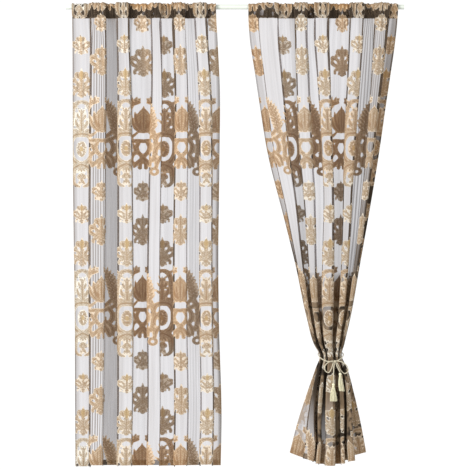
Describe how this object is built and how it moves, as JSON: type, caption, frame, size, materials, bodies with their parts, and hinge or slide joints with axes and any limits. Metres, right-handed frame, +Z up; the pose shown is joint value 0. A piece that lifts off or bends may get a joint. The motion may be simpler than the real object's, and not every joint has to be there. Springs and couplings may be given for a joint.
{
  "type": "pair of sheer voile curtains on a rod",
  "caption": "Sheer damask voile curtains with rod pockets on a slim rod, one hanging straight and one drawn in by a tasselled cord tie.",
  "frame": {"origin": "middle of the rod's axis", "axes": "+X along the rod to the right as seen from the front, -Y towards the viewer, +Z up"},
  "size_m": [1.56, 0.1631, 2.1414],
  "materials": {
    "rod": "satin",
    "voile": "sheer woven voile with matt woven motifs",
    "cord": "twisted satin yarn",
    "tassel": "soft silky yarn"
  },
  "bodies": {
    "root": {"rod": "rod", "left_panel": "voile", "right_panel": "voile", "tie_band": "cord", "tie_knot": "cord", "bow_loop_left": "cord", "bow_loop_right": "cord", "tail_long": "cord", "tail_short": "cord", "tassel_long": "tassel", "tassel_short": "tassel"}
  },
  "joints": []
}
